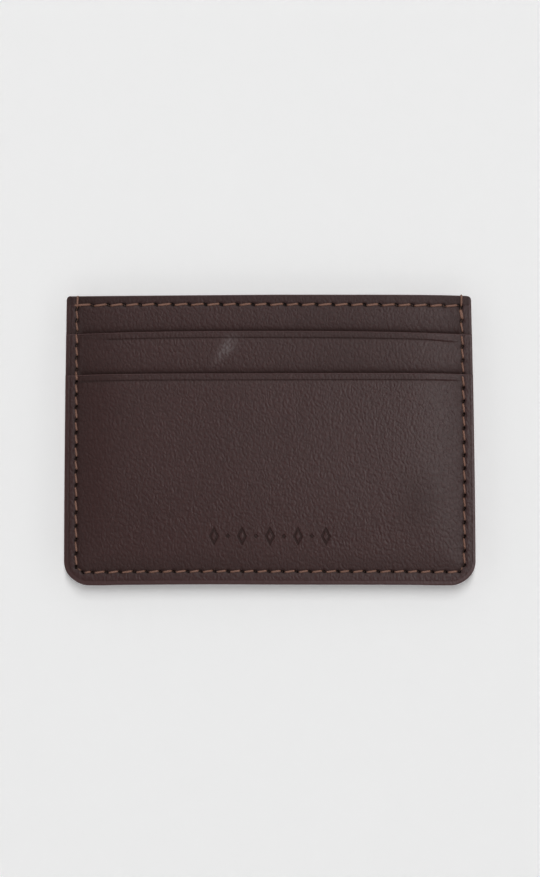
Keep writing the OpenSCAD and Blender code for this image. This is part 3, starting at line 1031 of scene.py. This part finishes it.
def leather_material():
    """Fine calf leather: streaks, small folds and pores, under the burnish with its painted highlight, the
    painted shade, the stamp and the scuff with its painted sheen that each sheet carries.
    """
    brown, pale_brown, in_folds = (0.031, 0.0138, 0.0132), (0.038, 0.0168, 0.0161), (0.020, 0.0088, 0.0083)
    # The lit burnished brown is partly a painted highlight; the darkest brown is painted shade and the
    # stamp's colour; the pale scuff colour is also a painted sheen.
    burnished, darkest, pale_scuff = (0.051, 0.0268, 0.0266), (0.013, 0.0055, 0.0045), (0.082, 0.064, 0.064)
    grain_size, middle = (0.54, 0.78, 0.54), (0.5, 0.5, 0.5)
    n = Nodes("brown_calf_leather", 0.45, 0.13)
    spot = n.coordinates()
    wobble = n.add("ShaderNodeTexNoise", out=1, Vector=spot, Scale=0.45, Detail=2.0)
    centred = n.add("ShaderNodeVectorMath", operation="SUBTRACT", Vector=wobble)
    n.set(centred.node.inputs[1], middle)
    bent = n.add("ShaderNodeVectorMath", operation="ADD", Vector=centred)
    n.set(bent.node.inputs[1], spot)
    grain_spot = n.add("ShaderNodeMapping", Vector=bent, Scale=tuple(1 / size for size in grain_size))
    cells = n.add("ShaderNodeTexVoronoi", Vector=grain_spot, Scale=0.5, Randomness=0.9,
                  feature="DISTANCE_TO_EDGE")
    folds, streaks, pores = n.spread(cells, 0.0, 0.35), n.noise(grain_spot, 1.0, 0.5), n.noise(bent, 5.5, 2.0)
    height = n.math("ADD", streaks, n.math("MULTIPLY", pores, 0.15))
    height = n.math("MULTIPLY_ADD", folds, 0.25, height)
    burnish, dark = n.attribute("burnish"), n.attribute("darkening")
    colour = n.mix(n.noise(spot, 0.09, 3.0), brown, pale_brown)
    colour = n.mix(n.spread(cells, 0.0, 0.16, 0.35, 0.0), colour, in_folds)
    # Burnish, partly a painted highlight: a lighter brown on the rim and at the mouths.
    colour = n.mix(burnish, colour, burnished)
    # Painted shade, and the stamp's dark colour.
    colour = n.mix(n.math("MULTIPLY", dark, 0.75), colour, darkest)
    # The scuff: a paler colour that is also a painted sheen.
    scuffed = n.math("MULTIPLY", n.attribute("scuffing"), n.spread(streaks, 0.35, 0.65, 0.25, 1.0))
    colour = n.mix(scuffed, colour, pale_scuff)
    roughness = n.spread(streaks, 0.2, 0.8, 0.36, 0.43)
    roughness = n.math("MULTIPLY_ADD", burnish, -0.05, roughness)
    roughness = n.math("MULTIPLY_ADD", dark, 0.2, roughness)
    smoothing = n.math("SUBTRACT", 1.0, n.math("MULTIPLY", burnish, 0.6))
    return n.finish(colour, roughness, n.relief(n.math("MULTIPLY", height, smoothing), 0.072 * MM))


def paint_material():
    """Satin edge paint, a little uneven."""
    paint, pale_paint = (0.047, 0.0245, 0.0240), (0.058, 0.0300, 0.0294)
    n = Nodes("edge_paint", 0.45, 0.14)
    spot = n.coordinates()
    drift = n.noise(spot, 0.7, 3.0)
    roughness = n.spread(drift, 0.2, 0.8, 0.42, 0.54)
    return n.finish(n.mix(drift, paint, pale_paint), roughness, n.relief(n.noise(spot, 3.0, 2.0), 0.02 * MM))


def thread_material():
    """Waxed thread with fine fibres, with painted shade between its plies and in its holes."""
    tan, pale_tan = (0.142, 0.068, 0.045), (0.206, 0.103, 0.071)
    # The darkest thread brown is painted shade.
    between_plies, dark_fibre = (0.016, 0.0065, 0.0045), (0.085, 0.040, 0.028)
    n = Nodes("waxed_tan_thread", 0.5, 0.3)
    spot = n.coordinates()
    fibres = n.noise(spot, 9.0, 3.0)
    colour = n.mix(n.noise(spot, 0.35, 1.0), tan, pale_tan)
    # Painted shade: nearly black brown in the grooves between plies and where the thread sinks into a hole.
    colour = n.mix(n.spread(n.attribute("ply"), 0.0, 0.7, 0.9, 0.0), colour, between_plies)
    colour = n.mix(n.spread(fibres, 0.4, 0.7, 0.0, 0.35), colour, dark_fibre)
    return n.finish(colour, n.spread(fibres, 0.3, 0.7, 0.42, 0.62), n.relief(fibres, 0.03 * MM))


def lining_material():
    """Twill: slanting ribs of fine yarn."""
    valley, rib, dark_yarn = (0.008, 0.0045, 0.0037), (0.015, 0.0090, 0.0077), (0.005, 0.003, 0.0026)
    rib_slant = math.radians(38)
    n = Nodes("brown_twill_lining", 0.8, 0.2)
    spot = n.coordinates()
    turned = n.add("ShaderNodeMapping", Vector=spot, Rotation=(0, 0, rib_slant))
    ribs = n.add("ShaderNodeTexWave", out=1, Vector=turned, Scale=1.1, Distortion=0.4, Detail=1.0)
    yarn = n.noise(spot, 6.0, 2.0)
    colour = n.mix(n.spread(yarn, 0.3, 0.7, 0.0, 0.4), n.mix(ribs, valley, rib), dark_yarn)
    height = n.math("MULTIPLY_ADD", yarn, 0.4, ribs)
    return n.finish(colour, n.spread(yarn, 0.3, 0.7, 0.75, 0.9), n.relief(height, 0.05 * MM))


def floor_material():
    """A pale floor with slow, very weak clouds, and a faint glow of its own."""
    grey, pale_grey, cloud_size = (0.897, 0.897, 0.897), (0.903, 0.903, 0.903), 40.0
    n = Nodes("pale_floor", 0.9, 0.1)
    tone = n.noise(n.coordinates((cloud_size,) * 3), 1.0, 2.0)
    n.set(n.shader.inputs["Base Color"], n.mix(tone, grey, pale_grey))
    n.shader.inputs["Emission Color"].default_value = (1, 1, 1, 1)
    n.shader.inputs["Emission Strength"].default_value = FLOOR_GLOW
    return n.material


# ---- the wallet


def make_wallet():
    """All pieces of the wallet. Each sheet rests on the one under it, and the lowest one on the floor."""
    leather, cloth = leather_material(), lining_material()
    for half, (_, layers) in HALVES.items():
        for layer in layers:
            material, slot = (cloth, "lining") if layer.name == "lining" else (leather, "leather")
            sheet = make_sheet(half, layer, material, slot)
    make_edge_coats(paint_material())
    make_threads(thread_material())


# ---- stage, light and camera

# Millimetres that the picture shows from top to bottom, and the spot of the face at its middle
VIEW_HEIGHT, VIEW_X, VIEW_Y = 212.6, 0.05, 0.41
FLOOR_GLOW = 0.205
# The floor's radius, that of its bend up into the wall, and the wall's top, in metres
FLOOR_R, WALL_R, WALL_TOP = 1.1, 0.5, 1.0
FLOOR_RINGS, BEND_RINGS, FLOOR_SIDES = 6, 12, 96
# The gap between the floor and the wallet, in millimetres
FLOOR_GAP = 0.01


def make_stage(level):
    """A pale floor that curves up into a round wall far from the wallet."""
    bend = np.radians(np.linspace(0, 90, BEND_RINGS + 1))
    profile = [(FLOOR_R * k / FLOOR_RINGS, 0.0) for k in range(1, FLOOR_RINGS + 1)]
    profile += [(FLOOR_R + WALL_R * math.sin(a), WALL_R * (1 - math.cos(a))) for a in bend[1:]]
    profile.append((FLOOR_R + WALL_R, WALL_TOP))
    sides = FLOOR_SIDES
    turns = np.arange(sides) * 2 * math.pi / sides
    verts = [(0.0, 0.0, level)]
    verts += [(r * math.cos(a), r * math.sin(a), level + z) for r, z in profile for a in turns]
    faces = [(0, 1 + j, 1 + (j + 1) % sides) for j in range(sides)]
    for i in range(len(profile) - 1):
        a, b = 1 + i * sides, 1 + (i + 1) * sides
        for j in range(sides):
            k = (j + 1) % sides
            faces.append((a + j, b + j, b + k, a + k))
    floor = bpy.data.objects.new("floor", smooth_mesh("floor", verts, faces, floor_material()))
    bpy.context.scene.collection.objects.link(floor)
    return floor


def make_softbox(name, direction, width, length, strength, distance):
    """A soft box as wide and long as shares of its distance; direction points from the wallet towards it."""
    box = bpy.data.lights.new(name, "AREA")
    box.shape, box.size, box.size_y = "RECTANGLE", width * distance, length * distance
    box.energy = strength * math.pi * distance ** 2
    light = bpy.data.objects.new(name, box)
    light.location = Vector(direction).normalized() * distance
    light.rotation_euler = Vector(direction).to_track_quat("Z", "Y").to_euler()
    bpy.context.scene.collection.objects.link(light)
    return light


def make_light(floor):
    """A long box behind the top edge, and a lamp to the right that lights the wallet but not the floor."""
    world_strength = 0.08
    make_softbox("softbox", (0.02, 0.54, 0.90), width=0.18, length=0.72, strength=1.65, distance=5.0)
    side = make_softbox("side_lamp", (0.31, 0.0, 0.90), width=0.2, length=0.2, strength=1.66, distance=1.23)
    unlit = bpy.data.collections.new("not_lit_from_the_side")
    unlit.objects.link(floor)
    unlit.collection_objects[0].light_linking.link_state = "EXCLUDE"
    side.light_linking.receiver_collection = unlit
    world = bpy.data.worlds.new("soft_room")
    world.use_nodes = True
    background = world.node_tree.nodes["Background"]
    background.inputs["Color"].default_value = (1, 1, 1, 1)
    background.inputs["Strength"].default_value = world_strength
    bpy.context.scene.world = world
    bpy.context.scene.view_settings.view_transform = "Standard"


def make_camera():
    """A long lens straight above the wallet."""
    focal_length, clip_start = 100, 0.01
    lens = bpy.data.cameras.new("camera")
    lens.lens, lens.clip_start = focal_length, clip_start
    camera = bpy.data.objects.new("camera", lens)
    away = VIEW_HEIGHT * lens.lens / lens.sensor_width + MID_Z * 2
    camera.location = (VIEW_X * MM, VIEW_Y * MM, away * MM)
    bpy.context.scene.collection.objects.link(camera)
    bpy.context.scene.camera = camera


make_camera()
make_wallet()
low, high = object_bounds()
make_light(make_stage(min(low.z, 0.0) - FLOOR_GAP * MM))
